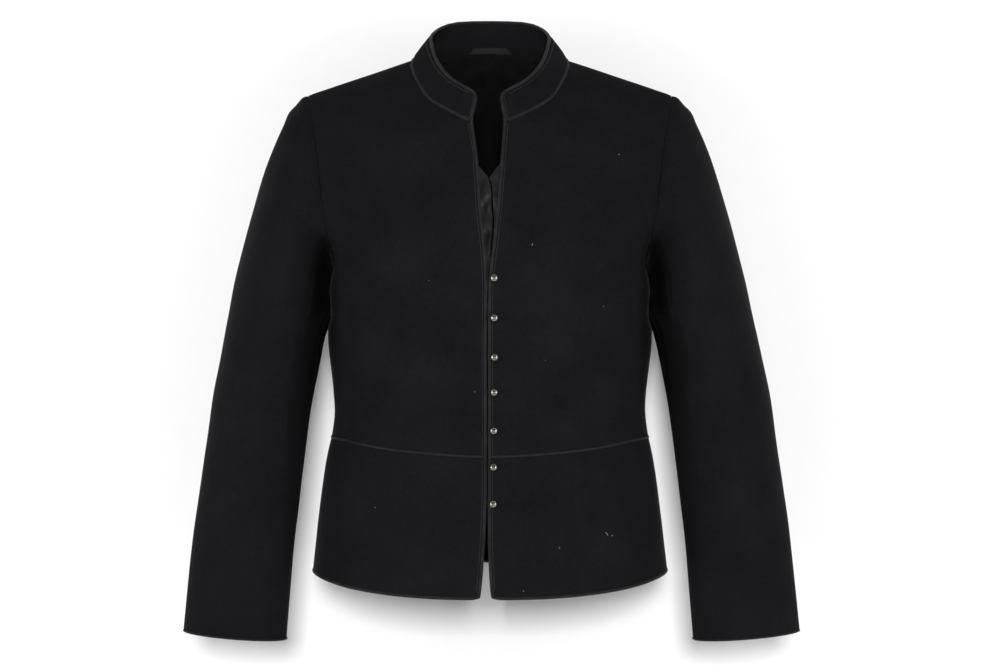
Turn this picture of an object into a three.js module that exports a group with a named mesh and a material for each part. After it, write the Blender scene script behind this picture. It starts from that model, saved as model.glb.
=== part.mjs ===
// Fitted short jacket with a stand collar, seven ball buttons and a flared skirt below a piped waist
// seam. It keeps the hollow shape it has when worn. Every cloth piece is a thin wall of its own, a seam
// gap away from its neighbours.
//
// Millimetres. +X is the wearer's left, +Y the wearer's back and +Z up. The origin lies in the mid-plane,
// level with the points where the shoulder seams meet the collar: a wearer holds the jacket up there.

import * as THREE from 'three';
import { mergeGeometries, mergeVertices } from 'three/addons/utils/BufferGeometryUtils.js';

// ---------------------------------------------------------------- driving dimensions

const seamGap = 0.3;          // between neighbouring pieces
const clothWall = 2.0;        // woollen cloth with its interlining
const satinWall = 1.0;
const edgePipingRadius = 1.5;  // along the hem, the front edges and the collar's top
const seamPipingRadius = 1.1;  // sewn into the waist seam and the collar seam
const seamPipingSink = 0.5;    // how far its centre lies below the cloth's outer face
const pipingSides = 8;
const pipedSeam = 2 * (seamPipingRadius + seamGap);

const girthPower = 2.4;       // how square the torso's sections are, seen from above
const bust = { x: 88, z: -200, fullness: 13, width: 55, height: 72 };
const trimColumn = 5;         // width of the narrow first column along each front edge
const cornerCut = { hem: 1, collar: 1.9 };   // how far a rounded corner lies inside the square one

const centreFrontColumns = 6;
const sideFrontColumns = 6;
const backColumns = 9;

const buttonRadius = 4.5;
const buttonCentre = 5.2;      // above the shank's foot
const shankRadius = 1.4;
const ballSteps = 7;
const ballSides = 12;
const buttonHeights = [-233.3, -273.6, -313.9, -350, -390.1, -428.1, -465.6];
const buttonOffsets = [5.0, 5.1, 5.3, 5.0, 4.6, 4.3, 4.0];

const { Vector3 } = THREE;

// A table is a list of column names and one row of values for each section.
function table(columns, rows) {
  return rows.map((row) => Object.fromEntries(columns.map((name, index) => [name, row[index]])));
}

// Half of the front, from the shoulder seam down. Each row is one section that runs outward from the neck
// or the front edge to the armhole or the side seam. leftX and rightX are its inner ends on the wearer's
// left and right, and seamX is the princess seam. roundness shapes the section's depth between its ends,
// and sweep its height.
const frontColumnNames = [
  'leftX', 'rightX', 'innerY', 'innerZ', 'edgeX', 'edgeY', 'edgeZ', 'roundness', 'sweep', 'seamX',
];
const frontBodice = table(frontColumnNames, [
  [85, 85, 5, 5.2, 197, 6, -32.2, 1.0, 1.0, 150],
  [83.6, 83.6, -17, -10.4, 194.5, -12, -47, 1.0, 1.1, 149],
  [75.6, 75.6, -35, -27, 190, -26, -68, 0.95, 1.15, 147.5],
  [65.6, 65.6, -50, -42.4, 186, -37, -90, 0.9, 1.2, 145.5],
  [50.4, 50.4, -67, -53.4, 183, -45, -112, 0.85, 1.3, 142],
  [34, 34, -79, -62.9, 180, -50, -135, 0.8, 1.35, 137],
  [18.2, 20.9, -84, -69.5, 177.5, -53, -155, 0.78, 1.4, 131.5],
  [15.1, 15.2, -98, -110, 172.5, -50, -181, 0.74, 1.5, 122],
  [11.7, 12.4, -112, -155, 168.5, -42, -200, 0.68, 1.5, 117],
  [6.9, 7.5, -122, -200, 166, -27, -217, 0.55, 1.5, 112],
  [2.6, 5.3, -124, -240, 171.5, 0, -232, 0.46, 1.5, 106],
  [2.1, 6.0, -120, -290, 175.2, 0, -286, 0.45, 1.5, 92],
  [2.1, 6.0, -115, -340, 170.5, 0, -338, 0.45, 1.5, 87],
  [2.1, 6.0, -112, -383, 167.4, 0, -376, 0.45, 1.8, 88],
  [2.1, 6.0, -113, -417, 170.6, 0, -408.3, 0.45, 2.0, 88],
]);
const frontSkirt = table(frontColumnNames, [
  [2.1, 6.0, -113, -417, 170.6, 0, -408.3, 0.45, 2.0, 88],
  [2.1, 6.0, -120, -455, 179, 0, -446, 0.45, 2.2, 88.5],
  [2.3, 8.2, -129, -510, 186, 0, -497, 0.45, 2.6, 90.5],
  [4.6, 11.6, -133.4, -553, 190.4, 0, -536.3, 0.45, 2.8, 92],
  [4.9, 11.9, -134, -558.7, 190.8, 0, -542, 0.45, 2.8, 92],
]);

// Half of the back, from the same shoulder seam down. Its inner end is the neck, then the centre-back seam.
const backColumnNames = ['innerX', 'innerY', 'innerZ', 'edgeX', 'edgeY', 'edgeZ', 'roundness', 'sweep'];
const backBodice = table(backColumnNames, [
  [85, 5, 5.2, 197, 6, -32.2, 1.0, 1.0],
  [78, 34, 9.5, 195.5, 24, -48, 1.0, 1.15],
  [62, 56, 13, 190, 42, -78, 0.95, 1.4],
  [36, 69, 16, 187, 51, -105, 0.9, 1.6],
  [0, 72, 17, 184, 56, -132, 0.85, 1.8],
  [0, 88, -30, 182, 58, -158, 0.75, 1.8],
  [0, 103, -90, 177, 52, -186, 0.65, 1.8],
  [0, 109, -150, 172, 34, -211, 0.55, 1.8],
  [0, 105, -215, 171.5, 0, -232, 0.46, 1.8],
  [0, 93, -286, 175.2, 0, -286, 0.45, 1.8],
  [0, 84, -345, 170.5, 0, -338, 0.45, 1.8],
  [0, 82, -383, 167.4, 0, -376, 0.45, 1.8],
  [0, 86, -412, 170.6, 0, -408.3, 0.45, 2.0],
]);
const backSkirt = table(backColumnNames, [
  [0, 86, -412, 170.6, 0, -408.3, 0.45, 2.0],
  [0, 98, -455, 179, 0, -446, 0.45, 2.0],
  [0, 112, -510, 186, 0, -497, 0.45, 2.4],
  [0, 119.2, -540, 190.4, 0, -536.3, 0.45, 2.4],
  [0, 120, -545.7, 190.8, 0, -542, 0.45, 2.4],
]);
const frontNeckRow = 6;
const frontArmpitRow = 10;
const backNeckRow = 4;
const backArmpitRow = 8;

// Top edge of the collar, piping included, above each row of the neck from the front round to the back.
const collarTop = table(['leftX', 'rightX', 'y', 'z'], [
  [13.2, 15.1, -76, -36.5],
  [28.6, 28.6, -70, -28.5],
  [41.2, 41.2, -58, -19.4],
  [52.1, 52.1, -42, -6.2],
  [60.1, 60.1, -22, 9.7],
  [63.6, 63.6, 0, 24.9],
  [64.4, 64.4, 16, 34.5],
  [60.4, 60.4, 36, 42.7],
  [53, 53, 50, 49],
  [36.5, 36.5, 60, 54.9],
  [0, 0, 64, 56.6],
]);
const collarLevels = [0, 0.3, 0.62, 0.86, 1];
const collarBelly = 1.2;

// Sleeve sections below the cap. They are ellipses, with the outer end higher by an angle in degrees.
const sleeveStations = table(['x', 'y', 'z', 'halfWidth', 'halfDepth', 'tilt'], [
  [224.2, -2, -243, 51.6, 62, 14],
  [228, -4, -270, 52.4, 60.6, 12],
  [232.4, -6, -297, 52.9, 59, 10],
  [238, -9.5, -329, 52.8, 56.8, 9],
  [243.9, -14, -361.3, 52.7, 54, 8.5],
  [248.6, -19, -398, 52.8, 51, 8],
  [253.1, -24, -435.8, 53, 48, 7.5],
  [257.6, -28, -472, 53.5, 45, 7],
  [262, -32, -510, 54, 42, 6.5],
  [266.5, -35.4, -560, 54.5, 38.8, 5.5],
  [270, -37.7, -602.5, 54.8, 36.4, 4.8],
  [270.5, -38, -609.5, 54.8, 36, 4.8],
]);
const leftSleeveEase = 1.9;   // the left sleeve is that much wider to each side, and stands out as far
const easeStations = 4;       // the ease grows over that many stations

// The sleeve cap: progress from the armhole to the first section, and where its outermost line lies there.
const capStations = table(['progress', 'outlineX', 'outlineZ'], [
  [0, 197, -32.2],
  [0.05, 204, -35.4],
  [0.12, 212.3, -45.5],
  [0.24, 223, -62.5],
  [0.42, 239.3, -101.5],
  [0.62, 252.4, -145],
  [0.82, 264.6, -190.5],
]);
const ringColumns = 18;
const frontRingColumns = 10;  // from the armpit up the front to the top of the cap
const frontSleeveSeam = 3;    // ring column of the seam at the front of the arm
const backSleeveSeam = 15;    // and of the one at the back
const capLift = 0.45;         // from the armhole's edge to the sleeve's first points
const capDirection = [0.9, 0.3, -0.1];   // out, forward and up, where the cap leaves the armhole
const underarmTurn = 0.12;    // how much of that direction is left at the armpit
const outlineFocus = 1.5;     // how narrowly the cap's outline shifts the columns near its top

// Crumpled satin strips behind the front edges: heights at the meeting edge and at the hidden edge, the
// line where the two strips meet, and how deep the crumple lies there.
const underlapRows = table(['meetZ', 'hiddenZ', 'meetX', 'swell'], [
  [-137, -113, -0.9, 0.4],
  [-148, -130, 2.0, 1.8],
  [-158, -145, 2.8, 0.5],
  [-167, -159, 3.0, 1.9],
  [-180, -174, 4.6, 0.6],
  [-191, -188, 3.0, 1.7],
  [-202, -200, 2.4, 0.5],
  [-213, -212, 2.1, 1.4],
  [-227, -227, 0.8, 0.4],
  [-252, -252, -0.9, 0.9],
  [-276, -276, -1.9, 0.3],
  [-300, -300, -2.0, 0.3],
]);
const underlapWidth = 19;
const underlapColumns = 4;
const underlapClearance = 0.5;  // from the line where they meet
const underlapSlope = 0.8;      // how much deeper the hidden edge lies
const crumpleWaves = 1.5;

const loopHalfWidths = { foot: 25, top: 17.5 };
const loopRows = { foot: 0.08, top: 0.8 };   // as rows of the collar's grid
const loopColumns = 8;
const liningClearance = 0.4;  // between the cloth and what lies inside it
const loopClearance = 0.5;

// ---------------------------------------------------------------- materials

const blackWool = new THREE.MeshStandardMaterial({ color: 0x191a1e, roughness: 0.92, metalness: 0 });
const blackPiping = new THREE.MeshStandardMaterial({ color: 0x26272b, roughness: 0.7, metalness: 0 });
const greySatin = new THREE.MeshStandardMaterial({ color: 0x33343a, roughness: 0.4, metalness: 0 });
const blackLining = new THREE.MeshStandardMaterial({ color: 0x0d0d10, roughness: 0.5, metalness: 0 });
const agedSilver = new THREE.MeshStandardMaterial({ color: 0x8f887c, roughness: 0.32, metalness: 1 });

// ---------------------------------------------------------------- grids of cells: point, outward normal

const sum = (a, b, scale = 1) => a.clone().addScaledVector(b, scale);
const between = (a, b, t) => a.clone().lerp(b, t);
const toward = (from, to, distance) => to.clone().sub(from).setLength(distance);
const range = (count) => Array.from({ length: count }, (_, index) => index);

// Outward normals of a grid of points. facing is 1 where rows crossed with columns point out, else -1.
function withNormals(points, facing, wraps = false) {
  const lastRow = points.length - 1;
  const width = points[0].length;
  return points.map((row, i) => row.map((point, j) => {
    const before = wraps ? (j + width - 1) % width : Math.max(j - 1, 0);
    const after = wraps ? (j + 1) % width : Math.min(j + 1, width - 1);
    const along = points[Math.min(i + 1, lastRow)][j].clone().sub(points[Math.max(i - 1, 0)][j]);
    const across = row[after].clone().sub(row[before]);
    return { point, normal: along.cross(across).multiplyScalar(facing).normalize() };
  }));
}

function mirrored(grid) {
  const flip = (vector) => new Vector3(-vector.x, vector.y, vector.z);
  return grid.map((row) => row.map((cell) => ({ point: flip(cell.point), normal: flip(cell.normal) })));
}

// One half from the outside in, then the other from the inside out: a grid that crosses the mid-plane.
function acrossMiddle(rightHalf, leftHalf) {
  const flipped = mirrored(rightHalf);
  return leftHalf.map((row, i) => [...flipped[i].slice(1).reverse(), ...row]);
}

// The same normal on both sides of a seam, so that the two walls end face to face.
function shareNormal(first, second) {
  const shared = first.normal.clone().add(second.normal).normalize();
  first.normal = shared;
  second.normal = shared.clone();
}

const part = (grid, firstRow, lastRow, firstColumn, lastColumn) => grid
  .slice(firstRow, lastRow + 1)
  .map((row) => row.slice(firstColumn, lastColumn + 1));

const plain = seamGap / 2;
const piped = pipedSeam / 2;

// Draws a panel back from its seams. seams gives the distance for any of its first and last row and column.
function drawnBack(grid, seams) {
  const lastRow = grid.length - 1;
  const lastColumn = grid[0].length - 1;
  return grid.map((row, i) => row.map((cell, j) => {
    const point = cell.point.clone();
    const pull = (neighbour, distance) => point.add(toward(cell.point, neighbour.point, distance));
    if (seams.firstRow && i === 0) pull(grid[1][j], seams.firstRow);
    if (seams.lastRow && i === lastRow) pull(grid[lastRow - 1][j], seams.lastRow);
    if (seams.firstColumn && j === 0) pull(row[1], seams.firstColumn);
    if (seams.lastColumn && j === lastColumn) pull(row[lastColumn - 1], seams.lastColumn);
    return { point, normal: cell.normal };
  }));
}

// Moves the cell at a free corner in from both of its edges, so that the corner is round.
function roundedCorner(grid, i, j, cut) {
  const rowNeighbour = grid[i === 0 ? 1 : i - 1][j];
  const columnNeighbour = grid[i][j === 0 ? 1 : j - 1];
  const cell = grid[i][j];
  const alongColumn = toward(cell.point, rowNeighbour.point, cut);
  const alongRow = toward(cell.point, columnNeighbour.point, cut);
  cell.point = sum(cell.point, alongColumn.add(alongRow));
}

// The cell at a fractional row and column.
function cellAt(grid, row, column) {
  const mixed = (from, to, share) => ({
    point: between(from.point, to.point, share),
    normal: between(from.normal, to.normal, share).normalize(),
  });
  const [i, j] = [Math.floor(row), Math.floor(column)];
  const alongRow = (cells) => mixed(cells[j], cells[Math.min(j + 1, cells.length - 1)], column - j);
  return mixed(alongRow(grid[i]), alongRow(grid[Math.min(i + 1, grid.length - 1)]), row - i);
}

// ---------------------------------------------------------------- solids from grids, routes and profiles

// A wall whose outer face is lifted off the grid. facing is as in withNormals, negative if mirrored.
function wall(grid, thickness, facing, lift = 0) {
  const height = grid.length;
  const width = grid[0].length;
  const positions = [];
  for (const depth of [lift, lift - thickness]) {
    for (const cell of grid.flat()) positions.push(...sum(cell.point, cell.normal, depth).toArray());
  }
  const at = (layer, i, j) => (layer * height + i) * width + j;
  const faces = [];
  const triangle = (a, b, c) => faces.push(...(facing > 0 ? [a, b, c] : [a, c, b]));
  const quad = (a, b, c, d, second = false) => {
    triangle(a, b, second ? d : c);
    triangle(second ? b : a, c, d);
  };
  // A cell's corners rarely lie in one plane, so both faces fold along the cell's shorter diagonal.
  const foldsSecond = (i, j) => grid[i + 1][j].point.distanceTo(grid[i][j + 1].point)
    < grid[i][j].point.distanceTo(grid[i + 1][j + 1].point);
  const lastRow = height - 1;
  const lastColumn = width - 1;
  for (const i of range(lastRow)) {
    for (const j of range(lastColumn)) {
      const second = foldsSecond(i, j);
      quad(at(0, i, j), at(0, i + 1, j), at(0, i + 1, j + 1), at(0, i, j + 1), second);
      quad(at(1, i, j), at(1, i, j + 1), at(1, i + 1, j + 1), at(1, i + 1, j), second);
    }
    quad(at(0, i + 1, 0), at(0, i, 0), at(1, i, 0), at(1, i + 1, 0));
    quad(at(0, i, lastColumn), at(0, i + 1, lastColumn), at(1, i + 1, lastColumn), at(1, i, lastColumn));
  }
  for (const j of range(lastColumn)) {
    quad(at(0, 0, j), at(0, 0, j + 1), at(1, 0, j + 1), at(1, 0, j));
    quad(at(0, lastRow, j + 1), at(0, lastRow, j), at(1, lastRow, j), at(1, lastRow, j + 1));
  }
  const geometry = new THREE.BufferGeometry();
  geometry.setAttribute('position', new THREE.Float32BufferAttribute(positions, 3));
  geometry.setIndex(faces);
  geometry.computeVertexNormals();
  return geometry;
}

// Sews two walls into one where their rims meet, and leaves out the rims between them.
function sewnTogether(first, second) {
  const walls = [first, second].map((geometry) => geometry.deleteAttribute('normal'));
  const joined = mergeVertices(mergeGeometries(walls));
  const corners = [...joined.getIndex().array];
  const faces = new Map();
  for (const i of range(corners.length / 3)) {
    const face = corners.slice(3 * i, 3 * i + 3);
    const key = [...face].sort((a, b) => a - b).join();
    faces.set(key, faces.has(key) ? [] : face);
  }
  joined.setIndex([...faces.values()].flat());
  joined.computeVertexNormals();
  return joined;
}

// A smooth route whose steps fall exactly on its points, so that piping follows the panels' own corners.
class PointedRoute extends THREE.CatmullRomCurve3 {
  getUtoTmapping(u) {
    return u;
  }
}

function pipe(points, radius) {
  const section = new THREE.Shape(range(pipingSides).map((side) => {
    const angle = (side + 0.5) * 2 * Math.PI / pipingSides;
    return new THREE.Vector2(radius * Math.cos(angle), radius * Math.sin(angle));
  }));
  const extrudePath = new PointedRoute(points, false, 'centripetal');
  return new THREE.ExtrudeGeometry(section, { steps: points.length - 1, bevelEnabled: false, extrudePath });
}

// ---------------------------------------------------------------- torso

// The point of one section at x. It rounds from its inner end to its outer end, where it turns to the side.
function sectionPoint(row, innerX, x) {
  const inside = (value) => Math.max(0, 1 - (value / row.edgeX) ** girthPower) ** row.roundness;
  const rise = (value) => value ** row.sweep;
  const y = row.edgeY + (row.innerY - row.edgeY) * inside(x) / inside(innerX);
  const drop = (rise(x) - rise(innerX)) / (rise(row.edgeX) - rise(innerX));
  return new Vector3(x, y, row.innerZ + (row.edgeZ - row.innerZ) * drop);
}

// Steps from one x to another, closer together where the section turns to the side.
function columnPlaces(edgeX, fromX, toX, count) {
  const angleOf = (x) => Math.asin(Math.min(1, x / edgeX));
  const [from, to] = [angleOf(fromX), angleOf(toX)];
  return range(count + 1).map((step) => edgeX * Math.sin(from + (to - from) * step / count));
}

function frontPoints(rows, side) {
  return rows.map((row) => {
    const innerX = row[`${side}X`];
    const places = [
      innerX,
      ...columnPlaces(row.edgeX, innerX + trimColumn, row.seamX, centreFrontColumns - 1),
      ...columnPlaces(row.edgeX, row.seamX, row.edgeX, sideFrontColumns).slice(1),
    ];
    return places.map((x) => {
      const point = sectionPoint(row, innerX, x);
      const fade = Math.sqrt(Math.max(0, 1 - (x / row.edgeX) ** girthPower));
      const spread = ((x - bust.x) / bust.width) ** 2 + ((point.z - bust.z) / bust.height) ** 2;
      point.y -= bust.fullness * fade * Math.exp(-spread);
      return point;
    });
  });
}

function backPoints(rows) {
  return rows.map((row) => columnPlaces(row.edgeX, row.innerX, row.edgeX, backColumns)
    .map((x) => sectionPoint(row, row.innerX, x)));
}

// Front and back of one side, bodice and skirt, as grids with matching normals where they are sewn.
function torsoHalf(side) {
  const frontWhole = withNormals(frontPoints([...frontBodice, ...frontSkirt.slice(1)], side), 1);
  const backWhole = withNormals(backPoints([...backBodice, ...backSkirt.slice(1)]), -1);
  const sideColumn = frontWhole[0].length - 1;
  frontWhole.slice(frontArmpitRow).forEach((row, i) => {
    shareNormal(row[sideColumn], backWhole[backArmpitRow + i][backColumns]);
  });
  // At the shoulder seam both walls end in an upright plane, and at the centre back in the mid-plane.
  for (const cell of [...frontWhole[0], ...backWhole[0]]) cell.normal.setY(0).normalize();
  for (const row of backWhole.slice(backNeckRow)) row[0].normal.setX(0).normalize();
  const frontWaist = frontBodice.length - 1;
  const backWaist = backBodice.length - 1;
  return {
    front: frontWhole.slice(0, frontWaist + 1),
    frontSkirt: frontWhole.slice(frontWaist),
    back: backWhole.slice(0, backWaist + 1),
    backSkirt: backWhole.slice(backWaist),
  };
}

const halves = { left: torsoHalf('left'), right: torsoHalf('right') };

// ---------------------------------------------------------------- scene graph

const jacket = new THREE.Group();
jacket.name = 'jacket';

function add(name, geometry, material) {
  const mesh = new THREE.Mesh(geometry, material.clone());
  mesh.name = name;
  jacket.add(mesh);
  return mesh;
}

// Adds a panel of the wearer's left as it is, and one of the right mirrored.
function addPanel(name, side, grid, facing, { material = blackWool, thickness = clothWall } = {}) {
  const onLeft = side === 'left';
  const placed = onLeft ? grid : mirrored(grid);
  return add(`${name}_${side}`, wall(placed, thickness, onLeft ? facing : -facing), material);
}

const princessColumn = centreFrontColumns;
const sideColumn = centreFrontColumns + sideFrontColumns;
const hemRow = frontSkirt.length - 1;

for (const side of ['left', 'right']) {
  const { front, frontSkirt: skirt, back } = halves[side];
  const waist = front.length - 1;
  roundedCorner(skirt, hemRow, 0, cornerCut.hem);
  addPanel('center_front', side,
    drawnBack(part(front, 0, waist, 0, princessColumn),
      { firstRow: plain, lastRow: piped, lastColumn: plain }), 1);
  addPanel('side_front', side,
    drawnBack(part(front, 0, waist, princessColumn, sideColumn),
      { firstRow: plain, lastRow: piped, firstColumn: plain, lastColumn: plain }), 1);
  addPanel('back', side,
    drawnBack(back, { firstRow: plain, lastRow: piped, firstColumn: plain, lastColumn: plain }), -1);
  addPanel('skirt_front', side,
    drawnBack(part(skirt, 0, hemRow, 0, princessColumn), { firstRow: piped, lastColumn: plain }), 1);
  addPanel('skirt_side', side,
    drawnBack(part(skirt, 0, hemRow, princessColumn, sideColumn),
      { firstRow: piped, firstColumn: plain, lastColumn: plain }), 1);
}
const backSkirtGrid = acrossMiddle(halves.right.backSkirt, halves.left.backSkirt);
add('skirt_back',
  wall(drawnBack(backSkirtGrid, { firstRow: piped, firstColumn: plain, lastColumn: plain }), clothWall, -1),
  blackWool);

// The back lining lies inside the back panels, clear of the shoulder and side seams. Its halves are one
// piece below the neck.
function liningWall(side) {
  const { back } = halves[side];
  const grid = drawnBack(part(back, 1, back.length - 1, 0, backColumns - 1), { lastRow: piped });
  const onLeft = side === 'left';
  return wall(onLeft ? grid : mirrored(grid), satinWall, onLeft ? -1 : 1, -clothWall - liningClearance);
}
add('back_lining', sewnTogether(liningWall('left'), liningWall('right')), blackLining);

// ---------------------------------------------------------------- collar

// The neck's edge on one side, from the front edge round to the centre back.
function neckEdge(side) {
  const { front, back } = halves[side];
  const frontCells = front.slice(0, frontNeckRow + 1).reverse().map((row) => row[0]);
  return [...frontCells, ...back.slice(1, backNeckRow + 1).map((row) => row[0])];
}

// Half of the collar, as rows from the seam up and columns from the front edge round to the centre back.
function collarPoints(side) {
  const neck = neckEdge(side);
  const columns = neck.map(({ point: foot }, index) => {
    const top = new Vector3(collarTop[index][`${side}X`], collarTop[index].y, collarTop[index].z);
    const [before, after] = [Math.max(index - 1, 0), Math.min(index + 1, neck.length - 1)];
    const rise = toward(foot, top, 1);
    const run = toward(neck[before].point, neck[after].point, 1);
    const slant = Math.sqrt(1 - rise.dot(run) ** 2);
    const height = top.distanceTo(foot) - 2 * edgePipingRadius - seamGap;
    return { foot: sum(foot, rise, pipedSeam / slant), top: sum(foot, rise, height) };
  });
  const share = trimColumn / columns[0].foot.distanceTo(columns[1].foot);
  columns.splice(1, 0, {
    foot: between(columns[0].foot, columns[1].foot, share),
    top: between(columns[0].top, columns[1].top, share),
  });
  return collarLevels.map((level) => columns.map(({ foot, top }) => {
    const away = new Vector3(foot.x, foot.y, 0).normalize();
    return sum(between(foot, top, level), away, collarBelly * 4 * level * (1 - level));
  }));
}

const collarHalves = { left: collarPoints('left'), right: collarPoints('right') };
const flipPoint = (point) => new Vector3(-point.x, point.y, point.z);
const collarGrid = withNormals(collarHalves.left.map((row, level) => [
  ...collarHalves.right[level].map(flipPoint),
  ...row.slice(0, -1).reverse(),
]), 1);
const collarLast = collarGrid[0].length - 1;
const collarTopLevel = collarLevels.length - 1;
roundedCorner(collarGrid, collarTopLevel, 0, cornerCut.collar);
roundedCorner(collarGrid, collarTopLevel, collarLast, cornerCut.collar);
add('collar', wall(collarGrid, clothWall, 1), blackWool);

// ---------------------------------------------------------------- sleeves

function ringAngle(column) {
  const back = ringColumns - frontRingColumns;
  if (column <= frontRingColumns) return Math.PI * column / frontRingColumns;
  return Math.PI * (1 + (column - frontRingColumns) / back);
}

// The armhole's edge from the armpit up the front to the shoulder and down the back.
function armhole(side) {
  const { front, back } = halves[side];
  const up = front.slice(0, frontArmpitRow + 1).reverse().map((row) => row[sideColumn].point);
  const down = back.slice(1, backArmpitRow).map((row) => row[backColumns].point);
  return [...up, ...down];
}

function sleeveRing(station) {
  const tilt = THREE.MathUtils.degToRad(station.tilt);
  const outward = new Vector3(Math.cos(tilt), 0, Math.sin(tilt));
  return range(ringColumns).map((column) => {
    const angle = ringAngle(column);
    return new Vector3(station.x, station.y, station.z)
      .addScaledVector(outward, -Math.cos(angle) * station.halfWidth)
      .add(new Vector3(0, -Math.sin(angle) * station.halfDepth, 0));
  });
}

// A cubic from one point and direction to another, with both directions scaled by the distance.
function blendedPoint(start, startDirection, end, endDirection, t) {
  const reach = start.distanceTo(end);
  return new Vector3()
    .addScaledVector(start, 2 * t ** 3 - 3 * t ** 2 + 1)
    .addScaledVector(startDirection, (t ** 3 - 2 * t ** 2 + t) * reach)
    .addScaledVector(end, 3 * t ** 2 - 2 * t ** 3)
    .addScaledVector(endDirection, (t ** 3 - t ** 2) * reach);
}

function sleevePoints(side) {
  const rings = sleeveStations.map((station, index) => {
    const ease = side === 'left' ? leftSleeveEase * Math.min(1, index / easeStations) : 0;
    return sleeveRing({ ...station, x: station.x + ease, halfWidth: station.halfWidth + ease });
  });
  const [first, second] = rings;
  const start = armhole(side);
  const capPoint = (column, progress) => {
    const angle = ringAngle(column);
    const outer = (1 - Math.cos(angle)) / 2;
    const straight = toward(start[column], first[column], 1);
    const [out, forward, up] = capDirection;
    const atShoulder = new Vector3(out, -forward * Math.sin(angle), up).normalize();
    const turn = underarmTurn + (1 - underarmTurn) * outer;
    const leaving = between(straight, atShoulder, turn).normalize();
    const arriving = toward(first[column], second[column], 1);
    const away = sum(start[column], leaving, capLift);
    return blendedPoint(away, leaving, first[column], arriving, progress);
  };
  const tip = frontRingColumns;
  const cap = capStations.map(({ progress, outlineX, outlineZ }) => {
    const shift = new Vector3(outlineX, 0, outlineZ).sub(capPoint(tip, progress)).setY(0);
    if (progress === 0) shift.set(0, 0, 0);
    return range(ringColumns).map((column) => {
      const focus = Math.max(0, -Math.cos(ringAngle(column))) ** outlineFocus;
      return sum(capPoint(column, progress), shift, focus);
    });
  });
  return [...cap, ...rings];
}

for (const side of ['left', 'right']) {
  const grid = withNormals(sleevePoints(side), 1, true);
  const wrapped = grid.map((row) => [...row.slice(backSleeveSeam), ...row.slice(0, frontSleeveSeam + 1)]);
  const lastRow = grid.length - 1;
  const upper = part(grid, 0, lastRow, frontSleeveSeam, backSleeveSeam);
  addPanel('upper_sleeve', side, drawnBack(upper, { firstColumn: plain, lastColumn: plain }), 1);
  addPanel('under_sleeve', side, drawnBack(wrapped, { firstColumn: plain, lastColumn: plain }), 1);
}

// ---------------------------------------------------------------- piping

// Centre line of piping beside a free edge. stops are the edge's cells in order, each with its neighbours
// inside the panel. The line lies level with the middle of the wall, out past the edge at a right angle.
function besideEdge(stops) {
  return stops.map(({ cell, inside }, index) => {
    const before = stops[Math.max(index - 1, 0)].cell;
    const after = stops[Math.min(index + 1, stops.length - 1)].cell;
    const run = toward(before.point, after.point, 1);
    const away = new Vector3();
    for (const neighbour of inside) away.add(toward(neighbour.point, cell.point, 1));
    away.addScaledVector(run, -away.dot(run)).normalize();
    return sum(sum(cell.point, cell.normal, -clothWall / 2), away, seamGap + edgePipingRadius);
  });
}

// Edge piping on one side, from the centre back of the hem round to the centre back of the collar.
function edgeRoute(side) {
  const { front, frontSkirt: skirt, backSkirt: tail } = halves[side];
  const last = tail.length - 1;
  const stop = (cell, ...inside) => ({ cell, inside });
  const backHem = tail[last].map((cell, j) => stop(cell, tail[last - 1][j]));
  const frontHem = skirt[last].slice(1, -1).map((cell, j) => stop(cell, skirt[last - 1][j + 1])).reverse();
  const hemCorner = stop(skirt[last][0], skirt[last - 1][0], skirt[last][1]);
  const edgeRows = [...front.slice(frontNeckRow), ...skirt.slice(1, last)].reverse();
  const collar = collarFromFront(side);
  const [topRow, below] = [collar[collarTopLevel], collar[collarTopLevel - 1]];
  const middle = (topRow.length - 1) / 2;
  const upright = [...edgeRows, ...collar.slice(1, collarTopLevel)].map((row) => stop(row[0], row[1]));
  const collarCorner = stop(topRow[0], topRow[1], below[0]);
  const collarEdge = range(middle).map((j) => stop(topRow[j + 1], below[j + 1]));
  const route = besideEdge([...backHem, ...frontHem, hemCorner, ...upright, collarCorner, ...collarEdge]);
  route[0].setX(seamGap / 2);
  route[route.length - 1].setX(0);
  return route;
}

// The collar's grid with its columns counted from one side's front edge.
function collarFromFront(side) {
  return side === 'left' ? collarGrid.map((row) => [...row].reverse()) : mirrored(collarGrid);
}

const rightEdge = edgeRoute('right').map(flipPoint);
const leftEdge = edgeRoute('left');
const edgeLine = [...rightEdge, ...leftEdge.slice(0, -1).reverse()];
add('edge_piping', pipe(edgeLine, edgePipingRadius), blackPiping);

// Piping sewn into the waist seam, from one front edge round to the other.
function waistRoute(side) {
  const { front, back } = halves[side];
  const cells = [...front[front.length - 1], ...back[back.length - 1].slice(0, -1).reverse()];
  const route = cells.map((cell) => sum(cell.point, cell.normal, -seamPipingSink));
  return side === 'left' ? route : route.map(flipPoint);
}
const waistLine = [...waistRoute('right'), ...waistRoute('left').slice(0, -1).reverse()];
add('waist_piping', pipe(waistLine, seamPipingRadius), blackPiping);

// Piping sewn between the neck's edge and the collar.
function neckRoute(side) {
  const cells = neckEdge(side);
  const collarCells = collarFromFront(side)[0].filter((_, column) => column !== 1).slice(0, cells.length);
  const route = cells.map(({ point }, index) => {
    const above = collarCells[index];
    return sum(between(point, above.point, 0.5), above.normal, -seamPipingSink);
  });
  route[0] = sum(route[0], toward(route[0], route[1], seamPipingRadius));
  return side === 'left' ? route : route.map(flipPoint);
}
const neckLine = [...neckRoute('right'), ...neckRoute('left').slice(0, -1).reverse()];
add('collar_seam_piping', pipe(neckLine, seamPipingRadius), blackPiping);

// ---------------------------------------------------------------- buttons, satin strips and hanger loop

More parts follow.
